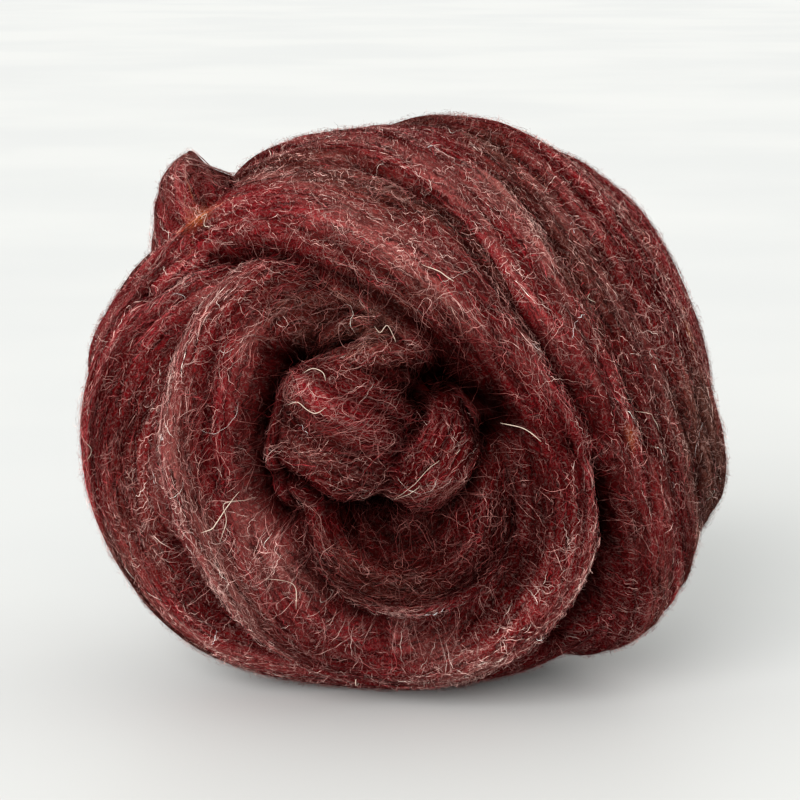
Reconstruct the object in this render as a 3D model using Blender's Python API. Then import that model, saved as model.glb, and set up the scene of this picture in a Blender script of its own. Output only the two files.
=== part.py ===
"""A ball of carded wool roving, wound by hand: one long, thick, untwisted strand.

The strand is rolled up on itself first, which leaves a coiled end face at the front (-Y), and is then
wound slantwise over the roll in broad belts. Metres, +Z up. The origin is on the surface that the ball
rests on, under the middle of its box.
"""

from typing import NamedTuple

import bmesh
import bpy
import numpy as np
from mathutils import Vector

# Driving dimensions, in metres
BALL_WIDTH = 0.138
BALL_DEPTH = 0.122
BALL_HEIGHT = 0.127
CENTRE = np.array([0.0, -0.0015, 0.0595])  # middle of the ball, over the surface that it rests on
CORE_SHARE = 0.76  # the packed inside of the ball, as a share of its size
CORE_OFFSET = np.array([0.0, 0.007, 0.0])  # it lies further back, because the coil is looser at its face
STATION_PITCH = 0.004  # spacing of the sections along a strand
LOCK_STATIONS = 14  # sections of a short lock
SECTION_POINTS = 20
ROUND_END = 0.012  # length over which a strand's end closes
FULLNESS = 0.78  # 1 for an oval strand, less for a fuller one
LOBES = 3  # the locks that a strand is drawn out of
LOBE_DEPTH = 0.07  # of the strand's half width
LOBE_TURN = 9.0  # radians that the lobes twist in a metre
VOXEL = 0.0019  # grain of the one solid that the turns are felted into
TRIANGLES_KEPT = 0.23  # share of its triangles that the finished solid keeps
WOOL = (0.16, 0.035, 0.04, 1.0)

SEMI_AXES = np.array([BALL_WIDTH, BALL_DEPTH, BALL_HEIGHT]) / 2


class Swell(NamedTuple):
    """A side of the ball that stands out of the plain egg shape, or is pressed into it."""

    azimuth: float  # degrees from +X towards +Y
    elevation: float
    span: float  # degrees to where the swell has fallen to about a third
    height: float


class Turn(NamedTuple):
    """A run of the strand, lying on the ball as circles round an axis through the ball's centre."""

    name: str
    axis_azimuth: float  # degrees from +X towards +Y
    axis_elevation: float  # degrees above the horizon
    start: float  # degrees round the axis by the right-hand rule, from the circle's highest point
    sweep: float
    thickness: float
    cone: tuple  # degrees from the axis, at even steps along the turn
    lift: tuple  # millimetres over the ball's own surface, at even steps
    width: tuple  # millimetres, at even steps


class Lock(NamedTuple):
    """A short stretch of the strand that leaves the ball's surface: the points that its middle follows."""

    name: str
    points: tuple  # millimetres from the ball's centre
    width: tuple  # millimetres, at each point
    thickness: tuple


MM = 0.001
SWELLS = (
    Swell(azimuth=-170, elevation=-5, span=40, height=5 * MM),
    Swell(azimuth=-172, elevation=-45, span=18, height=1.5 * MM),
    Swell(azimuth=-168, elevation=-20, span=16, height=-1 * MM),
    Swell(azimuth=-125, elevation=-62, span=20, height=-2 * MM),
    Swell(azimuth=-8, elevation=-36, span=24, height=5 * MM),
    Swell(azimuth=0, elevation=15, span=22, height=-3 * MM),
    Swell(azimuth=0, elevation=85, span=16, height=-1.5 * MM),
    Swell(azimuth=-170, elevation=62, span=22, height=-3.5 * MM),
    Swell(azimuth=178, elevation=36, span=18, height=-4.5 * MM),
)
TURNS = (
    Turn("coil_outer", -91, 0, start=85, sweep=-450, thickness=21 * MM,
         cone=(99, 70, 41, 29, 34, 46.5, 60, 42.5, 40, 44, 38),
         lift=(-4, 0, 3, 2, 0, 0, 0, 1, 1, -2, -14),
         width=(30, 31, 31, 17, 21, 20, 22, 24, 26, 20, 16)),
    Turn("coil_over", -91, 0, start=75, sweep=-125, thickness=18 * MM,
         cone=(100, 90, 64, 46, 36),
         lift=(-6, -1, 1, -3, -12),
         width=(24, 30, 31, 24, 12)),
    Turn("coil_middle", -91, 0, start=50, sweep=-320, thickness=19 * MM,
         cone=(28, 27, 26, 26, 26, 33, 35, 27, 19),
         lift=(-7, -8, -18, -14, -8, -6, -7, -9, -20),
         width=(20, 16, 10, 11, 14, 26, 24, 13, 10)),
    Turn("coil_inner", -91, 0, start=310, sweep=-160, thickness=17 * MM,
         cone=(20, 13.5, 10, 9.5, 9, 8),
         lift=(-24, -9, -7, -9, -14, -22),
         width=(10, 15, 17, 16, 13, 10)),
    Turn("roll_side", -91, 0, start=40, sweep=320, thickness=23 * MM,
         cone=(56, 66, 75, 75, 70, 66, 60),
         lift=(-5, -1, 0, -3, -6, -6, -8),
         width=(40, 40, 35, 30, 28, 26, 24)),
    Turn("roll_back", -91, 0, start=60, sweep=170, thickness=22 * MM,
         cone=(98, 97, 100, 102),
         lift=(-6, -2, -2, -6),
         width=(26, 28, 28, 26)),
    Turn("belt_back", 35, 22, start=175, sweep=165, thickness=22 * MM,
         cone=(124, 126, 124, 122),
         lift=(-6, 0, 0, -6),
         width=(28, 32, 32, 28)),
    Turn("belt_1", 35, 22, start=165, sweep=220, thickness=22 * MM,
         cone=(103, 106, 105, 103, 99),
         lift=(-4, 0, 0, -2, -3),
         width=(26, 28, 28, 26, 20)),
    Turn("belts", 35, 22, start=180, sweep=1800, thickness=20 * MM,  # a line for each time round the ball
         cone=(95, 92, 82, 82,
               77, 76, 70, 72,
               64, 60, 53, 57,
               47, 43, 36, 40,
               30, 25, 17, 14, 9),
         lift=(-5, 0, 0, 1,
               0, 0, 0, 0,
               0, 0, 0, 0,
               0, 0, 0, 0,
               0, 0, 0, -1, -6),
         width=(24, 25, 20, 18,
                22, 26, 26, 25,
                28, 30, 29, 29,
                31, 30, 30, 31,
                31, 31, 30, 27, 20)),
)
LOCKS = (
    Lock("coil_heart", points=((-25, -26, 6), (-23, -40, 5), (-13.5, -48, 3), (-5, -42, 1), (-3, -28, -1)),
         width=(30, 35, 36, 32, 24), thickness=(10, 14, 16, 14, 10)),
    Lock("tuft", points=((-35, -20, 28), (-42, -7, 39), (-46, 2, 48), (-46, 7, 54)),
         width=(36, 30, 15, 6), thickness=(20, 19, 13, 6)),
)


def unit(vector):
    return vector / np.linalg.norm(vector, axis=-1, keepdims=True)


def between(keys, share):
    """A smooth curve through keys that are set at even steps."""
    keys = np.asarray(keys, float)
    padded = np.concatenate([2 * keys[:1] - keys[1:2], keys, 2 * keys[-1:] - keys[-2:-1]])
    place = np.clip(share, 0, 1) * (len(keys) - 1)
    first = np.minimum(place.astype(int), len(keys) - 2)
    u = (place - first).reshape(-1, *[1] * (keys.ndim - 1))
    a, b, c, d = (padded[first + step] for step in range(4))
    return 0.5 * (2 * b + (c - a) * u + (2 * a - 5 * b + 4 * c - d) * u**2 + (3 * b - a - 3 * c + d) * u**3)


def heading(azimuth, elevation):
    azimuth, elevation = np.radians([azimuth, elevation])
    return np.array([np.cos(elevation) * np.cos(azimuth), np.cos(elevation) * np.sin(azimuth), np.sin(elevation)])


def reach(direction):
    """How far the ball's surface lies from its centre in each direction."""
    radius = 1 / np.linalg.norm(direction / SEMI_AXES, axis=-1)
    for swell in SWELLS:
        away = np.degrees(np.arccos(np.clip(direction @ heading(swell.azimuth, swell.elevation), -1, 1)))
        radius = radius + swell.height * np.exp(-((away / swell.span) ** 2))
    return radius


def axis_frame(azimuth, elevation):
    """The axis of a turn, the way to its circle's highest point, and the way a quarter turn on from there."""
    axis = heading(azimuth, elevation)
    top = unit(np.array([0.0, 0.0, 1.0]) - axis[2] * axis)
    return axis, top, np.cross(axis, top)


def end_closing(along, length):
    """1 along a strand, and down to a tip over its two ends."""
    from_end = np.minimum(along, length - along)
    share = np.clip(from_end / ROUND_END, 0.03, 1)
    return np.sqrt(1 - (1 - share) ** 2)


def fuller(wave):
    """Pushes a circle's sine or cosine out towards a square's, as strands that press on each other are."""
    return np.sign(wave) * np.abs(wave) ** FULLNESS


def sections(middle, out, width, thickness):
    """Rings of points round a strand's middle line, bent to lie on the ball."""
    radius = np.linalg.norm(middle, axis=1)
    forward = unit(np.gradient(middle, axis=0))
    across = unit(np.cross(out, forward))
    outward = np.cross(forward, across)
    step = np.linalg.norm(np.diff(middle, axis=0), axis=1)
    along = np.concatenate([[0], np.cumsum(step)])
    size = end_closing(along, along[-1])
    turned = np.linspace(0, 2 * np.pi, SECTION_POINTS, endpoint=False)
    rings = []
    for i in range(len(middle)):
        lobe = size[i] * (1 + LOBE_DEPTH * np.cos(LOBES * turned + LOBE_TURN * along[i]))
        sideways = width[i] / 2 * fuller(np.cos(turned)) * lobe
        upward = thickness[i] / 2 * fuller(np.sin(turned)) * lobe - sideways**2 / (2 * radius[i])
        rings.append(CENTRE + middle[i] + np.outer(sideways, across[i]) + np.outer(upward, outward[i]))
    return rings


def turn_sections(turn):
    """Rings of points along a run of the strand that lies on the ball."""
    axis, top, side = axis_frame(turn.axis_azimuth, turn.axis_elevation)
    length = np.radians(abs(turn.sweep)) * SEMI_AXES.mean() * np.sin(np.radians(np.mean(turn.cone)))
    share = np.linspace(0, 1, round(length / STATION_PITCH))
    angle = np.radians(turn.start + turn.sweep * share)[:, None]
    cone = np.radians(between(turn.cone, share))[:, None]
    out = np.cos(cone) * axis + np.sin(cone) * (np.cos(angle) * top + np.sin(angle) * side)
    radius = reach(out) + between(turn.lift, share) * MM - turn.thickness / 2
    thickness = np.full(len(share), turn.thickness)
    return sections(out * radius[:, None], out, between(turn.width, share) * MM, thickness)


def lock_sections(lock):
    """Rings of points along a short lock that leaves the ball's surface."""
    share = np.linspace(0, 1, LOCK_STATIONS)
    middle = between(lock.points, share) * MM
    out = unit(middle)
    return sections(middle, out, between(lock.width, share) * MM, between(lock.thickness, share) * MM)


def add_tube(mesh, rings):
    """Skins the rings into one closed tube."""
    loops = [[mesh.verts.new(Vector(point)) for point in ring] for ring in rings]
    for here, there in zip(loops, loops[1:]):
        for i in range(SECTION_POINTS):
            j = (i + 1) % SECTION_POINTS
            mesh.faces.new((here[i], here[j], there[j], there[i]))
    mesh.faces.new(loops[0][::-1])
    mesh.faces.new(loops[-1])


def add_core(mesh):
    """The packed inside, which the turns are wound over."""
    made = bmesh.ops.create_icosphere(mesh, subdivisions=4, radius=1)
    for vertex in made["verts"]:
        vertex.co = Vector(CENTRE + CORE_OFFSET + np.array(vertex.co) * SEMI_AXES * CORE_SHARE)


def material():
    made = bpy.data.materials.new("wool")
    made.use_nodes = True
    shader = made.node_tree.nodes["Principled BSDF"]
    shader.inputs["Base Color"].default_value = WOOL
    shader.inputs["Roughness"].default_value = 1.0
    return made


def floor_cutter():
    """Takes off what would reach below the surface that the ball rests on."""
    bpy.ops.mesh.primitive_cube_add(size=2 * BALL_WIDTH, location=(0, 0, -BALL_WIDTH))
    cutter = bpy.context.object
    cutter.name = "floor_cutter"
    cutter.hide_render = True
    cutter.display_type = "WIRE"
    return cutter


def roving_ball():
    """The turns and the packed inside as one felted solid, pressed flat where it rests."""
    mesh = bmesh.new()
    add_core(mesh)
    for turn in TURNS:
        add_tube(mesh, turn_sections(turn))
    for lock in LOCKS:
        add_tube(mesh, lock_sections(lock))
    bmesh.ops.recalc_face_normals(mesh, faces=mesh.faces)
    data = bpy.data.meshes.new("roving_ball")
    mesh.to_mesh(data)
    mesh.free()
    ball = bpy.data.objects.new("roving_ball", data)
    bpy.context.collection.objects.link(ball)
    data.materials.append(material())
    felted = ball.modifiers.new("felted", "REMESH")
    felted.mode = "VOXEL"
    felted.voxel_size = VOXEL
    thinned = ball.modifiers.new("thinned", "DECIMATE")
    thinned.ratio = TRIANGLES_KEPT
    flat = ball.modifiers.new("flat_spot", "BOOLEAN")
    flat.operation = "DIFFERENCE"
    flat.object = floor_cutter()
    return ball


for old in list(bpy.data.objects):
    bpy.data.objects.remove(old)
roving_ball()
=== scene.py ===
"""Looks for the ball of carded wool roving: the wound strand in full detail, and its loose fibres.

The strand's runs are those of the part's source, built finer and each with its own locks. Over them lie
fibres as thin ribbons that follow the strand, bridge its creases and stand off its surface as fuzz.
Metres, +Z up.
"""
import math
from typing import NamedTuple

import bpy
import numpy as np
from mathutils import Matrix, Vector


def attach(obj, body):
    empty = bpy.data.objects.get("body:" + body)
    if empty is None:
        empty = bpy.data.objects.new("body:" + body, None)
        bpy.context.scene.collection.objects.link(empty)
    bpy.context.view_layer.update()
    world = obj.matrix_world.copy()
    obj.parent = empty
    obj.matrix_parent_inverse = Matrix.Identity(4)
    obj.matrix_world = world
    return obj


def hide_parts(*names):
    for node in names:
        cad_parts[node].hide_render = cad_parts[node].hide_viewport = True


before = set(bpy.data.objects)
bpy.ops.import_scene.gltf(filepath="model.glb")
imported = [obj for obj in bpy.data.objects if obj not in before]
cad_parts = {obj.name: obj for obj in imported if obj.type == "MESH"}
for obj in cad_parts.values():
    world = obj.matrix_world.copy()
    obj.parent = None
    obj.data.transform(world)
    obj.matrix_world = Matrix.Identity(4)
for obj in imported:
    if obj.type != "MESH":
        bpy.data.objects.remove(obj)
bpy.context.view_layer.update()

MM = 0.001

# The ball and its strand, as in the part's source
BALL_WIDTH = 0.138
BALL_DEPTH = 0.122
BALL_HEIGHT = 0.127
CENTRE = np.array([0.0, -0.0015, 0.0595])
ROUND_END = 0.012
FULLNESS = 0.78
LOBES = 3
LOBE_DEPTH = 0.07
LOBE_TURN = 9.0
SEMI_AXES = np.array([BALL_WIDTH, BALL_DEPTH, BALL_HEIGHT]) / 2

# The finer mesh
STATION_PITCH = 0.003
LOCK_PITCH = 0.0015
COLUMNS = 49  # points across the outer side of a strand
INNER_POINTS = 9  # points across its hidden side
OUTLINE_STEPS = 181  # of the outline along which the outer side's points are spaced evenly
FLANK = 28  # degrees past its middle line that the outer side reaches
LEAST_END = 0.03  # share of ROUND_END at which a run starts, so that its first ring isn't one point
CHUNK = 180  # stations in one row of the baked picture

# Map of the finished surface, by direction from the ball's centre
MAP_STEP = 0.4  # degrees
MAP_LONGITUDES = round(360 / MAP_STEP)
MAP_LATITUDES = round(180 / MAP_STEP)
FINER = ((0, 6), (1, 2))  # how many times finer the strands' rows and columns are laid into the map


class Swell(NamedTuple):
    """A rise or a dip of the ball round one direction. Angles are in degrees."""

    azimuth: float
    elevation: float
    span: float
    height: float


class Turn(NamedTuple):
    """A run of the strand round an axis through the ball's centre. Angles are in degrees.

    At even steps it has its angle from the axis, its height over the ball and its width, both in millimetres.
    """

    name: str
    axis_azimuth: float
    axis_elevation: float
    start: float
    sweep: float
    thickness: float
    cone: tuple
    lift: tuple
    width: tuple


class Lock(NamedTuple):
    """A short run through points from the ball's centre. All its tables are in millimetres."""

    name: str
    points: tuple
    width: tuple
    thickness: tuple


SWELLS = [Swell(*row) for row in (
    (-170, -5, 40, 5 * MM),
    (-172, -45, 18, 1.5 * MM),
    (-168, -20, 16, -1 * MM),
    (-125, -62, 20, -2 * MM),
    (-8, -36, 24, 5 * MM),
    (0, 15, 22, -3 * MM),
    (0, 85, 16, -1.5 * MM),
    (-170, 62, 22, -3.5 * MM),
    (178, 36, 18, -4.5 * MM),
)]
COIL = (
    Turn("coil_outer", -91, 0, start=85, sweep=-450, thickness=21 * MM,
         cone=(99, 70, 41, 29, 34, 46.5, 60, 42.5, 40, 44, 38),
         lift=(-4, 0, 3, 2, 0, 0, 0, 1, 1, -2, -14),
         width=(30, 31, 31, 17, 21, 20, 22, 24, 26, 20, 16)),
    Turn("coil_over", -91, 0, start=75, sweep=-125, thickness=18 * MM,
         cone=(100, 90, 64, 46, 36),
         lift=(-6, -1, 1, -3, -12),
         width=(24, 30, 31, 24, 12)),
    Turn("coil_middle", -91, 0, start=50, sweep=-320, thickness=19 * MM,
         cone=(28, 27, 26, 26, 26, 33, 35, 27, 19),
         lift=(-7, -8, -18, -14, -8, -6, -7, -9, -20),
         width=(20, 16, 10, 11, 14, 26, 24, 13, 10)),
    Turn("coil_inner", -91, 0, start=310, sweep=-160, thickness=17 * MM,
         cone=(20, 13.5, 10, 9.5, 9, 8),
         lift=(-24, -9, -7, -9, -14, -22),
         width=(10, 15, 17, 16, 13, 10)),
    Turn("roll_side", -91, 0, start=40, sweep=320, thickness=23 * MM,
         cone=(56, 66, 75, 75, 70, 66, 60),
         lift=(-5, -1, 0, -3, -6, -6, -8),
         width=(40, 40, 35, 30, 28, 26, 24)),
    Turn("roll_back", -91, 0, start=60, sweep=170, thickness=22 * MM,
         cone=(98, 97, 100, 102),
         lift=(-6, -2, -2, -6),
         width=(26, 28, 28, 26)),
    Lock("coil_heart", points=((-25, -26, 6), (-23, -40, 5), (-13.5, -48, 3), (-5, -42, 1), (-3, -28, -1)),
         width=(30, 35, 36, 32, 24), thickness=(10, 14, 16, 14, 10)),
    Lock("tuft", points=((-35, -20, 28), (-42, -7, 39), (-46, 2, 48), (-46, 7, 54)),
         width=(36, 30, 15, 6), thickness=(20, 19, 13, 6)),
)
BELTS = (
    Turn("belt_back", 35, 22, start=175, sweep=165, thickness=22 * MM,
         cone=(124, 126, 124, 122),
         lift=(-6, 0, 0, -6),
         width=(28, 32, 32, 28)),
    Turn("belt_1", 35, 22, start=165, sweep=220, thickness=22 * MM,
         cone=(103, 106, 105, 103, 99),
         lift=(-4, 0, 0, -2, -3),
         width=(26, 28, 28, 26, 20)),
    Turn("belts", 35, 22, start=180, sweep=1800, thickness=20 * MM,
         cone=(95, 92, 82, 82,
               77, 76, 70, 72,
               64, 60, 53, 57,
               47, 43, 36, 40,
               30, 25, 17, 14, 9),
         lift=(-5, 0, 0, 1,
               0, 0, 0, 0,
               0, 0, 0, 0,
               0, 0, 0, 0,
               0, 0, 0, -1, -6),
         width=(24, 25, 20, 18,
                22, 26, 26, 25,
                28, 30, 29, 29,
                31, 30, 30, 31,
                31, 31, 30, 27, 20)),
)

# The wools that the roving is carded from, in linear colours: deep in the strand, and as loose fibres
MAROON, CRIMSON, UMBER, ROSE, ORANGE = range(5)
DEEP_WOOLS = np.array([
    [0.052, 0.0024, 0.0030],
    [0.105, 0.0045, 0.0065],
    [0.052, 0.015, 0.011],
    [0.125, 0.030, 0.027],
    [0.240, 0.060, 0.010],
])
LOOSE_WOOLS = np.array([
    [0.125, 0.011, 0.012],
    [0.220, 0.019, 0.025],
    [0.185, 0.085, 0.065],
    [0.520, 0.330, 0.290],
    [0.300, 0.115, 0.035],
])
CREAM = np.array([0.46, 0.35, 0.28])  # of the coarse hairs
# Painted shade that darkens the wool's colour in gaps and creases
PAINTED_SHADE_HUE = np.array([0, 0.4, 0.4])  # how much more of its red, green and blue a wool loses under painted shade
DEEPEST_CREASE_LIGHT = 0.12  # painted shade: share of its colour that wool keeps in the deepest crease
CREASE_CONTRAST = 1.7

# The finest fibres in the strand: colours against its own, and levels of the noise that draws them
DARK_STREAK = 0.55
PALE_STREAK = 1.4
STREAK_LEVELS = (0.34, 0.66)
# Painted shade in the low places between the clumps
SHADE_BETWEEN_CLUMPS = (0.45, 0.40, 0.40, 1.0)
CLUMP_LEVELS = (0.54, 0.38)
SINGLE_HAIRS = (2.0, 2.4, 2.3, 1.0)
LYING_WIDTH = 0.055
LYING_LEVELS = (0.30, 0.60)  # of the clumps
CURLY_WIDTH = 0.024
CURLY_LEVELS = (0.35, 0.60)  # of the streaks
CURLY_SHOWN = (0.15, 0.7)  # least and most
ROSE_IN_CURLY = 0.40  # the rest is as SINGLE_HAIRS
WANDER = 2.0 * MM  # of the fibres to their sides
RELIEF = 0.4 * MM
RELIEF_STRENGTH = 0.8
HAIR_RELIEF = 0.4  # against that of the clumps and the streaks

# How uneven a loose fibre's colour is along its length
BLOTCHES = 900.0  # to a metre
BLOTCH_DARK = 0.6
BLOTCH_PALE = 1.4


class Streak(NamedTuple):
    """Where one wool of the blend gathers: a line over the ball, as azimuths and elevations in degrees."""

    wool: int  # its place in DEEP_WOOLS
    amount: float
    spread: float  # degrees to each side
    line: tuple


STREAKS = [Streak(*row) for row in (
    (ROSE, 0.75, 3, ((-131, 32), (-134, 23), (-136, 14), (-134, 2), (-132, -6), (-128, -18), (-123, -33))),
    (ROSE, 0.75, 2, ((-122, 22), (-121, 3), (-121, -9), (-118, -20), (-110, -34))),
    (ROSE, 0.45, 5, ((-118, -18), (-114, -26), (-107, -36), (-95, -46), (-77, -50), (-55, -49))),
    (ROSE, 0.55, 4, ((-130, -22), (-127, -34), (-120, -46))),
    (ROSE, 0.65, 2.2, ((-153, 55), (-114, 50), (-98, 44), (-83, 37), (-70, 28), (-64, 19))),
    (ROSE, 0.50, 2.2, ((-104, 45), (-92, 36), (-78, 25), (-66, 14))),
    (ROSE, 0.95, 1.6, ((-66, 58), (-60, 53), (-58, 40), (-57, 27), (-55, 19), (-51, 7), (-45, -7),
        (-39, -20))),
    (ROSE, 0.50, 2.5, ((-45, 50), (-43, 34), (-38, 18), (-36, 2), (-33, -12))),
    (UMBER, 0.85, 8, ((-24, 5), (-18, -9), (-10, -24))),
    (UMBER, 0.70, 5, ((-37, 72), (-53, 55), (-51, 40), (-46, 24))),
    (UMBER, 0.80, 8, ((-112, 26), (-101, 28), (-89, 24))),
    (UMBER, 0.55, 6, ((-150, 63), (-109, 56), (-91, 48))),
    (UMBER, 0.60, 6, ((-87, -30), (-96, -35), (-104, -27))),
    (UMBER, 0.35, 2.5, ((-114, 0), (-106, -5), (-100, -10))),
    (UMBER, 0.45, 7, ((-152, -17), (-167, -34), (-162, -44))),
    (CRIMSON, 0.85, 6, ((-163, 36), (-153, 42), (-142, 47), (-122, 44))),
    (CRIMSON, 0.80, 3, ((-126, 20), (-125, 6), (-125, -6))),
    (CRIMSON, 0.65, 5, ((-87, 22), (-76, 15), (-66, 8), (-58, 2))),
    (CRIMSON, 0.70, 3, ((-64, 42), (-62, 30), (-57, 20), (-53, 9), (-47, -3))),
    (CRIMSON, 0.60, 4, ((-43, -9), (-36, -19))),
    (CRIMSON, 0.70, 6, ((-160, 17), (-160, 1), (-159, -14))),
    (CRIMSON, 0.70, 6, ((-114, 12), (-100, 8), (-92, -4))),
    (CRIMSON, 0.55, 5, ((-114, -4), (-104, -8))),
    (ROSE, 0.45, 3, ((-114, 8), (-104, 3), (-98, -6))),
    (CRIMSON, 0.60, 3, ((-117, -30), (-108, -42), (-94, -52))),
    (CRIMSON, 0.95, 1.3, ((-52, 8), (-51, 3))),
    (ORANGE, 0.55, 2.6, ((-155, 42), (-153, 42))),
    (ORANGE, 0.70, 0.8, ((-47, 2), (-46, 1))),
    (ORANGE, 0.70, 0.8, ((-22, 18), (-22, 17))),
    (ROSE, 0.80, 3, ((179, 52), (-168, 50))),
)]


class Hollow(NamedTuple):
    """A gap between turns that goes deeper than the turns' own roundness, with painted shade along it.

    A depth below 0 makes it a ridge, and a depth of 0 makes it only a patch of painted shade, or of painted
    light where its shade is below 0.
    """

    depth: float  # millimetres
    painted_shade: float  # painted shade: the share of light taken out of the colour, below 0 for painted light
    spread: float  # degrees to each side
    line: tuple


HOLLOWS_AND_SHADES = [Hollow(*row) for row in (
    (5.5, 0.97, 1.5, ((-117, 20), (-119, 13), (-120, 3), (-120, -4), (-118, -11), (-116, -15))),
    (4.0, 0.96, 1.4, ((-118, 19), (-113, 21), (-108, 23), (-103, 24))),
    (8.0, 0.99, 2.8, ((-81, 18), (-84, 17), (-86, 13))),
    (3.5, 0.90, 1.5, ((-81, 18), (-77, 15), (-73, 12), (-70, 8), (-71, 3))),
    (2.5, 0.80, 1.8, ((-120, -5), (-114, -6), (-111, -7), (-109, -9), (-106, -13), (-103, -15))),
    (6.5, 0.99, 2.1, ((-103, -14), (-95, -15))),
    (4.0, 0.90, 2.4, ((-38, -50), (-38, -38), (-45, -18), (-50, -6))),
    (1.8, 0.60, 1.6, ((-163, 23), (-152, 25), (-147, 31), (-143, 35), (-132, 39), (-120, 38))),
    (2.0, 0.60, 1.3, ((-110, 61), (-91, 56), (-80, 49), (-74, 37), (-68, 29), (-62, 22), (-57, 12),
        (-52, 3))),
    (1.2, 0.50, 1.2, ((-33, 68), (-52, 47), (-51, 34), (-47, 24), (-45, 11), (-42, -1), (-39, -12))),
    (1.0, 0.45, 1.0, ((-40, 36), (-38, 20), (-36, 4), (-32, -10))),
    (1.0, 0.45, 1.2, ((-128, 21), (-127, 10), (-126, 0), (-125, -6))),
    (1.2, 0.50, 1.5, ((-115, -12), (-113, -25), (-108, -38), (-96, -50))),
    (1.2, 0.60, 1.5, ((-88, -49), (-84, -48), (-72, -40), (-65, -28), (-64, -21))),
    (1.2, 0.55, 1.5, ((-80, -36), (-75, -33), (-71, -26))),
    (2.5, 0.70, 2.0, ((-108, -11), (-106, -17), (-103, -21))),
    (1.5, 0.60, 1.5, ((-74, 12), (-70, 3), (-74, -8), (-80, -13))),
    (0.8, 0.40, 1.0, ((-100, 50), (-86, 42), (-74, 31), (-66, 22))),
    (0.8, 0.40, 1.0, ((-126, 44), (-108, 41), (-94, 34), (-80, 24), (-68, 12))),
    (0.8, 0.40, 1.2, ((-28, 40), (-27, 20), (-24, 3), (-20, -10))),
    (-1.2, 0.0, 1.6, ((-66, 58), (-60, 53), (-58, 40), (-57, 27), (-55, 19), (-52, 9))),
    # Broad patches of painted shade with little or no depth, and of painted light where the shade is below 0
    (0.3, 0.35, 9, ((-95, -24), (-75, -24))),
    (0.0, 0.36, 20, ((-100, 0), (-80, -5))),
    (0.0, -0.35, 5, ((-79, 6), (-80, -4))),
    (0.0, -0.15, 22, ((-70, 65), (-42, 32), (-32, 5))),
    (0.0, 0.44, 8, ((-60, 4), (-62, -14))),
    (0.0, 0.25, 12, ((-118, -50), (-80, -56))),
    (0.0, 0.42, 8, ((-105, 4), (-98, -4))),
    (0.0, -0.12, 8, ((-132, 20), (-131, -5), (-126, -20))),
    (0.0, 0.55, 10, ((-98, -30), (-80, -28))),
    (0.0, 0.32, 8, ((-157, 22), (-156, 5))),
    (1.2, 0.45, 1.4, ((-116, 37), (-102, 33), (-94, 29), (-86, 24), (-80, 19), (-73, 12), (-69, 7),
        (-59, 1), (-51, -3))),
)]
SLANTS = {"coil_heart": 28}  # degrees that a run's fibres lie off its middle line


class Grain(NamedTuple):
    """Smooth noise over the strand in cells that are long along its fibres, of this length and width."""

    length: float
    width: float
    seed: int

    def at(self, u, v, number):
        return smooth_noise(u / self.length, v / self.width, self.seed + number)


# Relief of the strand: two sizes of waves, and the furrows between its locks in the middle of its broad tone
WIDE_WAVES = Grain(0.026, 0.0052, 0)
FINE_WAVES = Grain(0.010, 0.0021, 50)
WIDE_WAVE_HEIGHT = 0.9 * MM
FINE_WAVE_HEIGHT = 0.6 * MM
FURROW_DEPTH = 0.6 * MM
FURROW_SPREAD = 0.09  # of the broad tone, to each side of its middle
# Painted shade in the furrows: the share of light taken out of the colour
FURROW_PAINTED_SHADE = 0.34

# Light and dark along the strand
BROAD_TONE = Grain(0.080, 0.0065, 700)
NARROW_TONE = Grain(0.045, 0.0028, 800)
FINE_TONE = Grain(0.030, 0.0014, 900)
SIDE_TONE_SHARE = 0.6  # of the broad and of the fine tone against the narrow one
TONE_MIDDLE = 1.07
TONE_CONTRAST = 1.1

# Streaks of the wools in the strand
RED_LOCKS = Grain(0.060, 0.0085, 100)
RED_LINES = Grain(0.020, 0.0017, 400)
BROWN_LOCKS = Grain(0.050, 0.0080, 300)
PALE_LOCKS = Grain(0.040, 0.0040, 200)
PALE_LINES = Grain(0.016, 0.0015, 500)
PATCHES = Grain(0.012, 0.0022, 600)
RED_MIX = (1.5, 0.5)  # of its locks and its lines
RED_LEVEL = 0.6  # of the noise over which it shows
BROWN_LEVEL = 0.66
BROWN_CONTRAST = 3.5
MOST_BROWN = 0.7
PALE_MIX = (0.7, 0.3)
PALE_LEVEL = 0.62
PALE_CONTRAST = 4
MOST_PALE = 0.6
MOST_STREAK = 0.95


def unit(vector):
    return vector / np.maximum(np.linalg.norm(vector, axis=-1, keepdims=True), 1e-12)


def between(keys, share):
    """A smooth curve through keys that are set at even steps."""
    keys = np.asarray(keys, float)
    padded = np.concatenate([2 * keys[:1] - keys[1:2], keys, 2 * keys[-1:] - keys[-2:-1]])
    place = np.clip(share, 0, 1) * (len(keys) - 1)
    first = np.minimum(place.astype(int), len(keys) - 2)
    u = (place - first).reshape(-1, *[1] * (keys.ndim - 1))
    a, b, c, d = (padded[first + step] for step in range(4))
    return 0.5 * (2 * b + (c - a) * u + (2 * a - 5 * b + 4 * c - d) * u**2 + (3 * b - a - 3 * c + d) * u**3)


def heading(azimuth, elevation):
    azimuth, elevation = np.radians([azimuth, elevation])
    level = np.cos(elevation)
    return np.array([level * np.cos(azimuth), level * np.sin(azimuth), np.sin(elevation)])


def reach(direction):
    """How far the ball's surface lies from its centre in each direction."""
    radius = 1 / np.linalg.norm(direction / SEMI_AXES, axis=-1)
    for swell in SWELLS:
        away = np.degrees(np.arccos(np.clip(direction @ heading(swell.azimuth, swell.elevation), -1, 1)))
        radius = radius + swell.height * np.exp(-((away / swell.span) ** 2))
    return radius


def fuller(wave):
    return np.sign(wave) * np.abs(wave) ** FULLNESS


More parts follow.
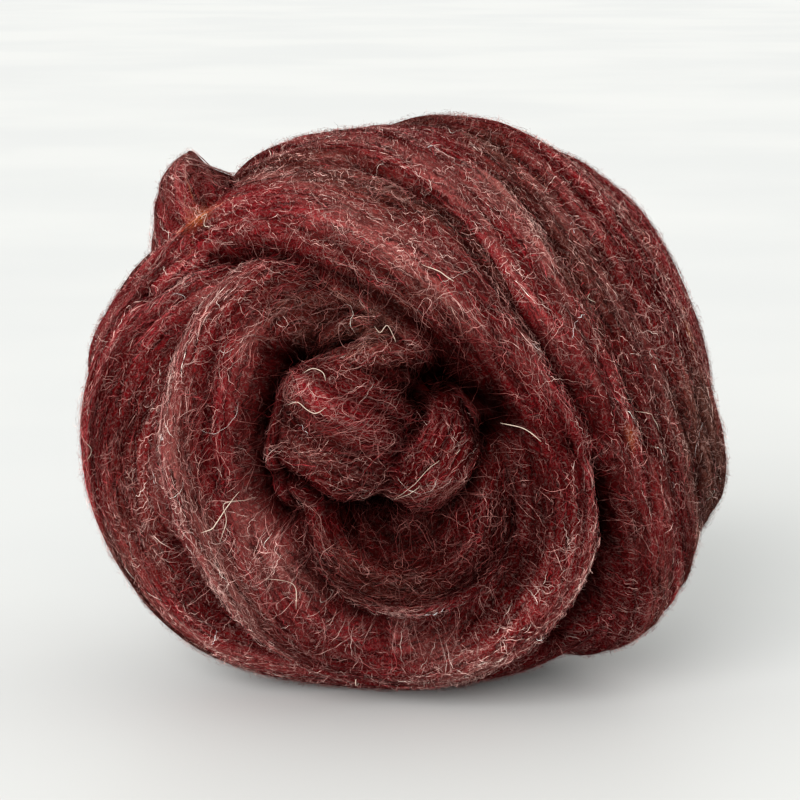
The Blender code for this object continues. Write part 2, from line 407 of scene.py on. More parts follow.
def smooth_noise(x, y, seed):
    """Smooth noise from 0 to 1 over a plane, one cell to each unit."""
    def corner(i, j):
        wave = np.sin(i * 127.1 + j * 311.7 + seed * 74.7) * 43758.5453
        return wave - np.floor(wave)

    i, j = np.floor(x), np.floor(y)
    s, t = x - i, y - j
    s, t = s * s * (3 - 2 * s), t * t * (3 - 2 * t)
    low = corner(i, j) * (1 - s) + corner(i + 1, j) * s
    high = corner(i, j + 1) * (1 - s) + corner(i + 1, j + 1) * s
    return low * (1 - t) + high * t


def turn_line(turn):
    """Middle line of a turn: points from the ball's centre, outward directions, widths and thicknesses."""
    axis = heading(turn.axis_azimuth, turn.axis_elevation)
    top = unit(np.array([0.0, 0.0, 1.0]) - axis[2] * axis)
    side = np.cross(axis, top)
    length = np.radians(abs(turn.sweep)) * SEMI_AXES.mean() * np.sin(np.radians(np.mean(turn.cone)))
    share = np.linspace(0, 1, round(length / STATION_PITCH))
    angle = np.radians(turn.start + turn.sweep * share)[:, None]
    cone = np.radians(between(turn.cone, share))[:, None]
    out = np.cos(cone) * axis + np.sin(cone) * (np.cos(angle) * top + np.sin(angle) * side)
    radius = reach(out) + between(turn.lift, share) * MM - turn.thickness / 2
    return out * radius[:, None], out, between(turn.width, share) * MM, np.full(len(share), turn.thickness)


def lock_line(lock):
    """The same for a short lock that leaves the ball's surface."""
    chords = np.linalg.norm(np.diff(np.array(lock.points, float), axis=0), axis=1)
    share = np.linspace(0, 1, round(chords.sum() * MM / LOCK_PITCH))
    middle = between(lock.points, share) * MM
    return middle, unit(middle), between(lock.width, share) * MM, between(lock.thickness, share) * MM


class Strand:
    """A run of the strand as rows of points, with the colour and the fibre direction at each."""

    def __init__(self, run, number):
        middle, out, width, thickness = turn_line(run) if isinstance(run, Turn) else lock_line(run)
        forward = unit(np.gradient(middle, axis=0))
        across = unit(np.cross(out, forward))
        outward = np.cross(forward, across)
        step = np.linalg.norm(np.diff(middle, axis=0), axis=1)
        along = np.concatenate([[0], np.cumsum(step)])
        from_end = np.clip(np.minimum(along, along[-1] - along) / ROUND_END, LEAST_END, 1)
        size = np.sqrt(1 - (1 - from_end) ** 2)

        def outline(turned):
            lobe = size[:, None] * (1 + LOBE_DEPTH * np.cos(LOBES * turned + LOBE_TURN * along[:, None]))
            sideways = width[:, None] / 2 * fuller(np.cos(turned)) * lobe
            upward = thickness[:, None] / 2 * fuller(np.sin(turned)) * lobe
            return sideways, upward - sideways**2 / (2 * np.linalg.norm(middle, axis=1)[:, None])

        dense = outline(np.radians(np.linspace(-FLANK, 180 + FLANK, OUTLINE_STEPS)))
        arc = np.cumsum(np.hypot(*(np.diff(part, axis=1, prepend=part[:, :1]) for part in dense)), axis=1)
        even = np.linspace(0, 1, COLUMNS)
        outer = [np.stack([np.interp(even, a / a[-1], row) for a, row in zip(arc, part)]) for part in dense]
        hidden = np.radians(np.linspace(180 + FLANK, 360 - FLANK, INNER_POINTS + 2)[1:-1])
        ring = [np.concatenate(parts, axis=1) for parts in zip(outer, outline(hidden))]
        self.rows = (CENTRE + middle)[:, None] + ring[0][..., None] * across[:, None] \
            + ring[1][..., None] * outward[:, None]
        self.along = along[:, None] + number  # a metre apart, so no two runs have the same grain
        self.width = arc[:, -1:]
        self.slant = np.radians(SLANTS.get(run.name, 0))
        u, v = self.grain_at(self.along, (even - 0.5) * self.width)
        face = self.rows[:, :COLUMNS]
        self.flow = unit(np.gradient(face, axis=0))
        normal = unit(np.cross(np.gradient(face, axis=1), self.flow))
        sign = np.sign(np.sum(normal * outward[:, None], axis=2).mean())
        broad, narrow, fine = (tone.at(u, v, number) for tone in (BROAD_TONE, NARROW_TONE, FINE_TONE))
        furrow = np.exp(-(((broad - 0.5) / FURROW_SPREAD) ** 2))
        ripple = WIDE_WAVE_HEIGHT * (WIDE_WAVES.at(u, v, number) - 0.5) \
            + FINE_WAVE_HEIGHT * (FINE_WAVES.at(u, v, number) - 0.5) - FURROW_DEPTH * furrow
        self.rows[:, :COLUMNS] += normal * (sign * size[:, None] * ripple)[..., None]
        direction = unit(face - CENTRE)
        near = [near_line(direction, hollow) for hollow in HOLLOWS_AND_SHADES]
        sunk = sum(hollow.depth * MM * share for hollow, share in zip(HOLLOWS_AND_SHADES, near))
        self.rows[:, :COLUMNS] -= direction * sunk[..., None]
        self.rows[..., 2] = np.maximum(self.rows[..., 2], 0.0)
        tone = narrow + SIDE_TONE_SHARE * broad + SIDE_TONE_SHARE * fine - TONE_MIDDLE
        # Painted shade of the hollows and the furrows, times the strand's own tone
        self.lit = np.prod([1 - hollow.painted_shade * share for hollow, share in zip(HOLLOWS_AND_SHADES, near)], axis=0)
        self.lit *= (1 - FURROW_PAINTED_SHADE * furrow) * np.exp(TONE_CONTRAST * tone)
        self.blend = blend(u, v, direction, number)
        sideways = unit(np.cross(normal, self.flow))
        self.flow = np.cos(self.slant) * self.flow + np.sin(self.slant) * sideways

    def grain_at(self, along, across):
        """Lengths along and across the fibres."""
        c, s = np.cos(self.slant), np.sin(self.slant)
        return along * c + across * s, across * c - along * s


def blend(u, v, direction, number):
    """Shares of the wools: long streaks, each some millimetres wide, and the streaks of the table."""
    redness = RED_MIX[0] * RED_LOCKS.at(u, v, number) + RED_MIX[1] * RED_LINES.at(u, v, number)
    red = np.clip(redness - RED_LEVEL, 0, 1)
    brown = MOST_BROWN * np.clip(BROWN_CONTRAST * (BROWN_LOCKS.at(u, v, number) - BROWN_LEVEL), 0, 1)
    paleness = PALE_MIX[0] * PALE_LOCKS.at(u, v, number) + PALE_MIX[1] * PALE_LINES.at(u, v, number)
    pale = MOST_PALE * np.clip(PALE_CONTRAST * (paleness - PALE_LEVEL), 0, 1)
    shares = np.stack([(1 - red) * (1 - brown) * (1 - pale), red * (1 - brown) * (1 - pale),
                       brown * (1 - pale), pale, np.zeros(u.shape)], -1)
    uneven = 0.5 + PATCHES.at(u, v, number)
    wools = np.eye(len(DEEP_WOOLS))
    for streak in STREAKS:
        share = np.clip(streak.amount * uneven * near_line(direction, streak), 0, MOST_STREAK)[..., None]
        shares = shares * (1 - share) + wools[streak.wool] * share
    return shares


def near_line(direction, feature):
    """1 on the line of a streak or a hollow, falling to 0 beside it and past its ends."""
    points = np.array([heading(*place) for place in feature.line])
    away = np.full(direction.shape[:-1], 180.0)
    for start, end in zip(points, points[1:]):
        chord = end - start
        share = np.clip((direction - start) @ chord / (chord @ chord), 0, 1)[..., None]
        away = np.minimum(away, np.degrees(np.linalg.norm(direction - (start + chord * share), axis=-1)))
    return np.exp(-((away / feature.spread) ** 2))


def placed(name, data):
    """A new object of the scene that shows this mesh, lamp or camera."""
    thing = bpy.data.objects.new(name, data)
    bpy.context.scene.collection.objects.link(thing)
    return thing


def mesh_from(name, points, faces, finish):
    """A mesh object from arrays of points and of four-sided faces."""
    mesh = bpy.data.meshes.new(name)
    mesh.vertices.add(len(points))
    mesh.vertices.foreach_set("co", np.ascontiguousarray(points, np.float32).ravel())
    mesh.loops.add(faces.size)
    mesh.loops.foreach_set("vertex_index", np.ascontiguousarray(faces, np.int32).ravel())
    mesh.polygons.add(len(faces))
    mesh.polygons.foreach_set("loop_start", np.arange(0, faces.size, 4, dtype=np.int32))
    mesh.update(calc_edges=True)
    mesh.polygons.foreach_set("use_smooth", np.ones(len(faces), bool))
    mesh.materials.append(finish)
    piece = placed(name, mesh)
    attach(piece, "root")
    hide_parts("roving_ball")
    return piece


def inset(share, margin):
    """Keeps a margin at both ends of a part of the baked picture."""
    return margin + (1 - 2 * margin) * share


def add_uv(piece, name, corners):
    layer = piece.data.uv_layers.new(name=name)
    layer.data.foreach_set("uv", np.ascontiguousarray(corners, np.float32).ravel())


def add_colour(piece, name, colours, light=1.0):
    """A colour at each point, and the share of painted light there as its alpha."""
    layer = piece.data.color_attributes.new(name, "FLOAT_COLOR", "POINT")
    layer.data.foreach_set("color", np.c_[colours, np.full(len(colours), light)].astype(np.float32).ravel())


def strand_piece(name, strands, finish):
    """Several runs as one piece, each a closed tube."""
    points, faces, grain_uv, bake_uv, colours, lights = [], [], [], [], [], []
    first_point = first_row = 0
    rows_needed = sum(math.ceil((len(s.rows) - 1) / CHUNK) for s in strands)
    ring = COLUMNS + INNER_POINTS
    for s in strands:
        count = len(s.rows)
        i, j = np.meshgrid(np.arange(count - 1), np.arange(ring), indexing="ij")
        corners_i = np.stack([i, i, i + 1, i + 1], -1)
        corners_j = np.stack([j, j + 1, j + 1, j], -1)
        faces.append((first_point + corners_i * ring + corners_j % ring).reshape(-1, 4))
        place = s.grain_at(s.along[corners_i, 0], (corners_j / (COLUMNS - 1) - 0.5) * s.width[corners_i, 0])
        grain_uv.append(np.stack(place, -1).reshape(-1, 2))
        chunk = i[..., None] // CHUNK
        bake_u = inset((corners_i - chunk * CHUNK) / CHUNK, 0.005)
        bake_v = (first_row + chunk + inset(corners_j / ring, 0.02)) / rows_needed
        bake_uv.append(np.stack([bake_u, bake_v], -1).reshape(-1, 2))
        points.append(s.rows.reshape(-1, 3))
        # Painted shade of the hollows, the furrows and the creases, with the strand's tone, goes into the
        # colour and its alpha
        light = s.lit * s.open
        colour = dimmed(s.blend @ DEEP_WOOLS, light)
        around = np.minimum(np.arange(ring), COLUMNS - 1)  # the hidden side is as the outer side's edge
        colours.append(colour[:, around].reshape(-1, 3))
        lights.append(light[:, around].ravel())
        first_point += count * ring
        first_row += math.ceil((count - 1) / CHUNK)
    piece = mesh_from(name, np.concatenate(points), np.concatenate(faces), finish)
    add_uv(piece, "OFBake", np.concatenate(bake_uv))
    add_uv(piece, "grain", np.concatenate(grain_uv))
    add_colour(piece, "heather_and_shade", np.concatenate(colours), np.concatenate(lights))


NEAR_UP = (0.3, 0.2, 1.0)  # any way that isn't looked along
LOOK_WAYS = 12
LOOK_STEPS = (1.5, 3, 5, 8, 12)  # degrees away at which the neighbouring surface is looked up


class Surface:
    """What shows of the ball in each direction from its centre.

    Its fields are how far out it lies, the way of its fibres, the shares of its wools and the painted light
    there, with the strand's tone.
    """

    def __init__(self, strands):
        layers = []
        for s in strands:
            layer = np.concatenate([s.rows[:, :COLUMNS], s.flow, s.blend, s.lit[..., None]], axis=2)
            for axis, times in FINER:
                layer = repeat_between(layer, axis, times)
            layers.append(layer.reshape(-1, layer.shape[-1]))
        place, flow, shares, lit = np.split(np.concatenate(layers), (3, 6, -1), axis=1)
        from_centre = place - CENTRE
        radius = np.linalg.norm(from_centre, axis=1)
        order = np.argsort(radius, kind="stable")
        top = np.full(MAP_LATITUDES * MAP_LONGITUDES, -1)
        top[self.cell_of(unit(from_centre))[order]] = order
        top = top.reshape(MAP_LATITUDES, MAP_LONGITUDES)
        while (top < 0).any():
            for axis, way in ((1, 1), (1, -1), (0, 1), (0, -1)):
                top = np.where(top < 0, np.roll(top, way, axis), top)
        self.radius = radius[top]
        self.flow = unit(flow[top])
        self.shares = shares[top]
        self.lit = lit[top]

    @staticmethod
    def cell_of(direction):
        longitude = np.degrees(np.arctan2(direction[..., 1], direction[..., 0])) % 360
        latitude = np.degrees(np.arcsin(np.clip(direction[..., 2], -1, 1))) + 90
        column = (longitude / MAP_STEP).astype(int) % MAP_LONGITUDES
        row = np.minimum((latitude / MAP_STEP).astype(int), MAP_LATITUDES - 1)
        return row * MAP_LONGITUDES + column

    def openness(self, points):
        """How much sky each point sees over what lies round it: 1 on a plain side, 0 deep in a crease."""
        from_centre = points - CENTRE
        radius = np.linalg.norm(from_centre, axis=-1)
        out = from_centre / radius[..., None]
        side = tangent_to(out, np.broadcast_to(NEAR_UP, out.shape))
        other = np.cross(out, side)
        seen = np.zeros(radius.shape)
        for turn in np.linspace(0, 2 * np.pi, LOOK_WAYS, endpoint=False):
            way = np.cos(turn) * side + np.sin(turn) * other
            slope = np.zeros(radius.shape)
            for step in np.radians(LOOK_STEPS):
                there = unit(out + way * step)
                rise = self.at("radius", there)[..., 0] * np.cos(step) - radius
                slope = np.maximum(slope, rise / (radius * step))
            seen += (1 - slope / np.sqrt(1 + slope**2)) / LOOK_WAYS
        return seen

    def at(self, field, direction):
        return getattr(self, field).reshape(MAP_LATITUDES * MAP_LONGITUDES, -1)[self.cell_of(direction)]


def repeat_between(field, axis, times):
    """Puts evenly spaced values between a field's rows or columns."""
    field = np.moveaxis(field, axis, 0)
    share = np.arange((len(field) - 1) * times + 1) / times
    first = np.minimum(share.astype(int), len(field) - 2)
    part = (share - first).reshape(-1, *[1] * (field.ndim - 1))
    return np.moveaxis(field[first] * (1 - part) + field[first + 1] * part, 0, axis)


def tangent_to(direction, vector):
    return unit(vector - np.sum(vector * direction, axis=-1, keepdims=True) * direction)


class Fibres(NamedTuple):
    """A sort of loose fibre. Lengths are in metres."""

    name: str
    count: int
    length: tuple
    segments: int
    thickness: tuple
    stray: float  # degrees off the strand's direction
    curl: float  # degrees that it turns in a millimetre
    follow: float  # how soon it falls in with the strand, from 0 to 1 a step
    crimp: float  # height of its waves
    wave: float  # length of its waves
    lift: tuple  # its height over the surface, least and most
    taut: int  # rounds of pulling it straight over hollows
    pale: float  # how much rose there is in it over the strand's own
    together: int = 1  # fibres in a wisp, which share their way and their waves
    free: bool = False  # one end stands off the ball


BACK_FROM = 0.2  # of a direction's way to the back, where the fibres get fewer
BACK_SHARE = 0.42
WISP_SPREAD = 0.008  # between the roots of a wisp's fibres, against the ball's radius
WISP_STRAY = 5  # degrees between them
WISP_BEND = 0.15  # how much their bends differ, against the sort's curl
SHORTEST = 0.75  # the shortest fibre's length, against its wisp's
BEND_KEPT = 0.96  # of a fibre's bend, from step to step
BEND_CHANGE = 0.33  # of a wisp's bend from step to step, against the sort's curl
OWN_CHANGE = 0.12  # of each fibre's bend
LATE_RISE = 1.6  # the higher, the later a free fibre leaves the strand
EARLY_RISE = 0.5  # the lower, the sooner the others do so
ROOTED = 6  # a free fibre's length over that of the end in the strand
ROOT_DEPTH = 0.35 * MM  # of a fibre's ends in the strand
WAVE_CHANGE = 0.35  # of the length of a fibre's waves
OWN_WAVES = 0.25  # of that change, in each fibre of a wisp
OWN_PHASE = 0.4  # radians
CRIMP_RANGE = (0.4, 1.4)  # the least and the most of a fibre's crimp, against the sort's
CRIMP_DEPTH = 0.35  # of a fibre's waves up and down, against those to its sides
CRIMP_PACE = 0.83  # of the waves up and down, against those to its sides
FLOOR_GAP = 0.05 * MM
TIP = 0.25  # a fibre's thickness at its ends, against its middle
TAPER = 5  # a fibre's length over that of its taper


def seeds(count, draw):
    """Directions spread evenly over the ball, fewer of them at the back."""
    found = np.empty((0, 3))
    while len(found) < count:
        some = unit(draw.normal(size=(4 * count, 3)))
        chance = np.where(some[:, 1] < BACK_FROM, 1.0, BACK_SHARE)
        found = np.concatenate([found, some[draw.random(len(some)) < chance]])
    return found[:count]


def grown(surface, sort, wisps, draw):
    """Lays a sort of fibre over the surface from given places: the paths, and the outward directions."""
    count, steps = len(wisps) * sort.together, sort.segments + 1

    def wisp(made, *setting, jitter=0.0):
        shared = np.repeat(made(*setting, size=(len(wisps), 1)), sort.together, axis=0)
        return shared + jitter * draw.normal(size=(count, 1))

    apart = WISP_SPREAD * draw.normal(size=(count, 3)) * (sort.together > 1)
    here = unit(np.repeat(wisps, sort.together, axis=0) + apart)
    length = wisp(draw.uniform, *sort.length) * draw.uniform(SHORTEST, 1, size=(count, 1))
    pace = length / sort.segments
    way_round = np.repeat(draw.choice([-1, 1], size=(len(wisps), 1)), sort.together, axis=0)
    ahead = tangent_to(here, surface.at("flow", here) * way_round)
    turn = np.radians(wisp(draw.normal, 0, sort.stray, jitter=WISP_STRAY))
    ahead = np.cos(turn) * ahead + np.sin(turn) * np.cross(here, ahead)
    bend = np.radians(wisp(draw.normal, 0, sort.curl, jitter=WISP_BEND * sort.curl)) / MM
    way = np.empty((count, steps, 3))
    radius = np.empty((count, steps))
    for k in range(steps):
        way[:, k] = here
        radius[:, k] = surface.at("radius", here)[:, 0]
        flow = surface.at("flow", here)
        flow = flow * np.sign(np.sum(flow * ahead, axis=1, keepdims=True))
        ahead = tangent_to(here, ahead * (1 - sort.follow) + flow * sort.follow)
        change = wisp(draw.normal, 0, sort.curl * BEND_CHANGE, jitter=sort.curl * OWN_CHANGE)
        bend = bend * BEND_KEPT + np.radians(change) / MM
        turn = bend * pace
        ahead = np.cos(turn) * ahead + np.sin(turn) * np.cross(here, ahead)
        here = unit(here + ahead * pace / radius[:, k:k + 1])
        ahead = tangent_to(here, ahead)
    pull_taut(radius, sort.taut)
    share = np.linspace(0, 1, steps)
    loose = share**LATE_RISE if sort.free else np.sin(np.pi * share) ** EARLY_RISE
    rooted = 1 - np.minimum(1, share * ROOTED) if sort.free else 1 - loose
    high = draw.uniform(*sort.lift, size=(count, 1)) * loose - ROOT_DEPTH * rooted**2
    jump = np.repeat(draw.normal(size=(len(wisps), steps)), sort.together, axis=0)
    jump = jump + OWN_WAVES * draw.normal(size=(count, steps))
    first_phase = wisp(draw.uniform, 0, 2 * np.pi, jitter=OWN_PHASE)
    phase = first_phase + np.cumsum(2 * np.pi * pace / sort.wave * (1 + WAVE_CHANGE * jump), axis=1)
    swing = sort.crimp * wisp(draw.uniform, *CRIMP_RANGE) * np.sin(phase)
    path = CENTRE + way * (radius + high + CRIMP_DEPTH * sort.crimp * np.cos(phase * CRIMP_PACE))[..., None]
    forward = unit(np.gradient(path, axis=1))
    path = path + np.cross(way, forward) * swing[..., None]
    path[..., 2] = np.maximum(path[..., 2], FLOOR_GAP)
    return path, way


def pull_taut(radius, rounds):
    """Lifts each fibre over the hollows in its way. The last axis goes along the fibre."""
    for _ in range(rounds):
        radius[..., 1:-1] = np.maximum(radius[..., 1:-1], (radius[..., :-2] + radius[..., 2:]) / 2)


def ribbons(name, path, out, thickness, roll, tint, finish):
    """Fibres as one mesh of thin ribbons that taper to both ends."""
    count, steps = path.shape[:2]
    forward = unit(np.gradient(path, axis=1))
    side = unit(np.cross(forward, out))
    side = np.cos(roll)[..., None] * side + np.sin(roll)[..., None] * np.cross(side, forward)
    share = np.linspace(0, 1, steps)
    taper = TIP + (1 - TIP) * np.minimum(1, TAPER * np.minimum(share, 1 - share))
    half = side * (thickness * taper / 2)[..., None]
    points = np.stack([path - half, path + half], axis=2).reshape(-1, 3)
    start = (np.arange(count)[:, None] * steps + np.arange(steps - 1)) * 2
    faces = np.stack([start, start + 1, start + 3, start + 2], -1).reshape(-1, 4)
    piece = mesh_from(name, points, faces, finish)
    across = math.ceil(math.sqrt(count))
    fibre, station = np.meshgrid(np.arange(count), np.arange(steps - 1), indexing="ij")
    end = np.array([0, 0, 1, 1])
    edge = np.array([0, 1, 1, 0])
    u = (fibre[..., None] % across + inset((station[..., None] + end) / (steps - 1), 0.1)) / across
    v = (fibre[..., None] // across + inset(edge, 0.2)) / across
    add_uv(piece, "OFBake", np.stack([u, v], -1).reshape(-1, 2))
    add_colour(piece, "tint", np.repeat(tint.reshape(-1, 3), 2, axis=0))


class Nodes:
    """Short ways to add and link the nodes of a material or of the world."""

    def __init__(self, owner, shader="Principled BSDF"):
        owner.use_nodes = True
        self.owner = owner
        self.tree = owner.node_tree
        self.shader = self.tree.nodes[shader]

    def add(self, kind, links=None, **settings):
        node = self.tree.nodes.new(kind)
        for key, value in settings.items():
            setattr(node, key, value)
        self.feed(node, links or {})
        return node

    def feed(self, node, links):
        """Puts values or links at a node's sockets."""
        for socket, value in links.items():
            if hasattr(value, "is_output"):
                self.tree.links.new(value, node.inputs[socket])
            else:
                node.inputs[socket].default_value = value

    def math(self, operation, a, b=0.0):
        return self.add("ShaderNodeMath", {0: a, 1: b}, operation=operation).outputs[0]

    def ranged(self, value, low, high, to_low=0.0, to_high=1.0):
        links = {"Value": value, "From Min": low, "From Max": high, "To Min": to_low, "To Max": to_high}
        return self.add("ShaderNodeMapRange", links, interpolation_type="SMOOTHSTEP").outputs[0]

    def mixed(self, share, a, b, kind="MIX"):
        links = {0: share, 6: a, 7: b}  # the sockets of a Mix node that is set to colours
        return self.add("ShaderNodeMix", links, data_type="RGBA", blend_type=kind).outputs[2]

    def times(self, a, b):
        return self.mixed(1.0, a, b, "MULTIPLY")

    def noise(self, vector, scale, detail=2.0):
        links = {"Vector": vector, "Scale": scale, "Detail": detail}
        return self.add("ShaderNodeTexNoise", links).outputs[0]


def dimmed(colour, light):
    """Wool colour darkened by painted shade, which takes out more of the green and blue, as in wool that
    light reaches through other wool.
    """
    light = light[..., None]
    return colour * light * np.minimum(light, 1) ** PAINTED_SHADE_HUE


def painted_crease_shade(openness):
    """Painted shade in creases: the share of its colour that wool keeps where it lies deep between turns."""
    return DEEPEST_CREASE_LIGHT + (1 - DEEPEST_CREASE_LIGHT) * np.clip(openness, 0, 1) ** CREASE_CONTRAST


def grey(value):
    return (value, value, value, 1.0)


def carded_wool():
    """The strand's own surface: crimped fibres side by side, finer than the loose ones over it."""
    n = Nodes(bpy.data.materials.new("carded_wool"))
    place = n.add("ShaderNodeUVMap", uv_map="grain").outputs[0]
    drift = n.add("ShaderNodeTexNoise", {"Vector": place, "Scale": 700.0, "Detail": 2.0}).outputs["Color"]
    drift = n.add("ShaderNodeVectorMath", {0: drift, 1: (0.5, 0.5, 0.5)}, operation="SUBTRACT").outputs[0]
    drift = n.add("ShaderNodeVectorMath", {0: drift, "Scale": WANDER}, operation="SCALE").outputs[0]
    place = n.add("ShaderNodeVectorMath", {0: place, 1: drift}, operation="ADD").outputs[0]
    parts = n.add("ShaderNodeSeparateXYZ", {0: place})
    u, v = parts.outputs[0], parts.outputs[1]

    def noise_along(along_scale, across_scale, slant, seed, detail):
        """Noise in cells a metre over each scale, along the fibres and across them."""
        across = n.math("ADD", v, n.math("MULTIPLY", u, slant))
        cell = {0: n.math("MULTIPLY", u, along_scale), 1: n.math("MULTIPLY", across, across_scale), 2: seed}
        return n.noise(n.add("ShaderNodeCombineXYZ", cell).outputs[0], 1.0, detail)

    def hairs(along_scale, across_scale, slant, seed, width):
        """Thin lines along a noise's level curves: 1 on them and 0 between."""
        level = n.math("SUBTRACT", noise_along(along_scale, across_scale, slant, seed, 1.0), 0.5)
        return n.ranged(n.math("ABSOLUTE", level), width, 0.0)

    streaks = noise_along(70.0, 1100.0, slant=0.0, seed=1.0, detail=4.0)
    clumps = noise_along(150.0, 900.0, slant=0.1, seed=2.0, detail=3.0)
    lying = n.math("MAXIMUM", hairs(170.0, 2700.0, slant=0.06, seed=3.0, width=LYING_WIDTH),
                   hairs(300.0, 2300.0, slant=-0.15, seed=4.0, width=LYING_WIDTH))
    curly = n.math("MAXIMUM", hairs(800.0, 1250.0, slant=0.5, seed=5.0, width=CURLY_WIDTH),
                   hairs(950.0, 1150.0, slant=-0.6, seed=6.0, width=CURLY_WIDTH))
    # The painted colour holds the wool's heather and the painted shade of hollows, furrows and creases; its
    # alpha is the painted light share, which also darkens the pale curly hairs
    painted = n.add("ShaderNodeVertexColor", layer_name="heather_and_shade")
    heather_and_shade, light = painted.outputs["Color"], painted.outputs["Alpha"]
    tone = n.mixed(n.ranged(streaks, *STREAK_LEVELS), grey(DARK_STREAK), grey(PALE_STREAK))
    base = n.times(heather_and_shade, tone)
    # Painted shade between the clumps, where the relief is low
    base = n.mixed(n.ranged(clumps, *CLUMP_LEVELS), base, n.times(base, SHADE_BETWEEN_CLUMPS))
    bright = n.times(heather_and_shade, SINGLE_HAIRS)
    base = n.mixed(n.math("MULTIPLY", lying, n.ranged(clumps, *LYING_LEVELS)), base, bright)
    pale = n.mixed(ROSE_IN_CURLY, bright, n.times(light, (*LOOSE_WOOLS[ROSE], 1.0)))
    base = n.mixed(n.math("MULTIPLY", curly, n.ranged(streaks, *CURLY_LEVELS, *CURLY_SHOWN)), base, pale)
    relief = n.math("MULTIPLY", n.math("ADD", lying, curly), HAIR_RELIEF)
    height = n.math("ADD", n.math("ADD", clumps, streaks), relief)
    bump = n.add("ShaderNodeBump", {"Strength": RELIEF_STRENGTH, "Distance": RELIEF, "Height": height})
    n.feed(n.shader, {
        "Base Color": base, "Normal": bump.outputs[0], "Roughness": 1.0, "Specular IOR Level": 0.0})
    return n.owner


def loose_wool():
    """Loose fibres, each of its own tint and a little uneven along its length."""
    n = Nodes(bpy.data.materials.new("loose_wool"))
    tint = n.add("ShaderNodeVertexColor", layer_name="tint").outputs[0]
    blotch = n.noise(n.add("ShaderNodeTexCoord").outputs["Object"], BLOTCHES)
    colour = n.times(tint, n.mixed(blotch, grey(BLOTCH_DARK), grey(BLOTCH_PALE)))
    n.feed(n.shader, {"Base Color": colour, "Roughness": 0.5, "Specular IOR Level": 0.03})
    return n.owner


# Camera, light and floor
CAMERA_HEIGHT = 10  # degrees above the horizon
CAMERA_DISTANCE = 0.6
PICTURE = 800  # pixels across the photograph
PIXEL = 0.217e-3  # what one of them covers at the ball
SHIFT_PIXELS = (-4.5, 4.0)  # across and up
SENSOR = 36  # millimetres
HORIZON_LIGHT = 0.78
OVERHEAD_LIGHT = 1.10
SKY_TINT = (0.985, 1.0, 0.975, 1)
FLOOR_REACH = 30  # metres from the ball to the floor's sides
FLOOR_TINTS = ((0.56, 0.563, 0.56, 1), (0.60, 0.60, 0.59, 1))
FLOOR_LEVELS = (0.35, 0.65)  # of the noise between them


def make_camera():
    target = Vector((0, 0, CENTRE[2]))
    data = bpy.data.cameras.new("camera")
    camera = placed("camera", data)
    tilt = math.radians(CAMERA_HEIGHT)
    back = Vector((0, -math.cos(tilt), math.sin(tilt)))
    camera.location = target + back * CAMERA_DISTANCE
    camera.rotation_euler = (-back).to_track_quat("-Z", "Y").to_euler()
    data.sensor_width = SENSOR
    data.lens = SENSOR / 2 / (PICTURE / 2 * PIXEL / CAMERA_DISTANCE)
    data.shift_x, data.shift_y = (pixels / PICTURE for pixels in SHIFT_PIXELS)
    bpy.context.scene.camera = camera


def soft_light(name, way, strength, width):
    """Light that goes one way, from a patch of the sky this many degrees wide."""
    data = bpy.data.lights.new(name, "SUN")
    data.energy = strength
    data.angle = math.radians(width)
    lamp = placed(name, data)
    lamp.rotation_euler = Vector(way).to_track_quat("-Z", "Y").to_euler()


def make_light():
    """A sky that is brighter overhead, and behind the camera a window at the left and a low light."""
    world = bpy.data.worlds.new("studio")
    bpy.context.scene.world = world
    n = Nodes(world, "Background")
    way = n.add("ShaderNodeTexCoord").outputs["Generated"]
    rise = n.add("ShaderNodeSeparateXYZ", {0: way}).outputs["Z"]
    light = n.add("ShaderNodeMapRange", {"Value": rise, "To Min": HORIZON_LIGHT, "To Max": OVERHEAD_LIGHT})
    n.feed(n.shader, {"Color": SKY_TINT, "Strength": light.outputs[0]})
    soft_light("window", (0.40, 0.80, -0.42), strength=3.6, width=40)
    soft_light("low_front", (0.10, 1.0, -0.30), strength=1.2, width=30)
    bpy.context.scene.view_settings.view_transform = "Standard"


def make_floor():
    n = Nodes(bpy.data.materials.new("pale_floor"))
    cloud = n.noise(n.add("ShaderNodeTexCoord").outputs["Object"], 3.0, 4.0)
    colour = n.mixed(n.ranged(cloud, *FLOOR_LEVELS), *FLOOR_TINTS)
    n.feed(n.shader, {"Base Color": colour, "Roughness": 0.5})
    mesh = bpy.data.meshes.new("floor")
    corners = [(x * FLOOR_REACH, y * FLOOR_REACH, 0) for x, y in ((-1, -1), (1, -1), (1, 1), (-1, 1))]
    mesh.from_pydata(corners, [], [(0, 1, 2, 3)])
    mesh.materials.append(n.owner)
    floor = placed("floor", mesh)


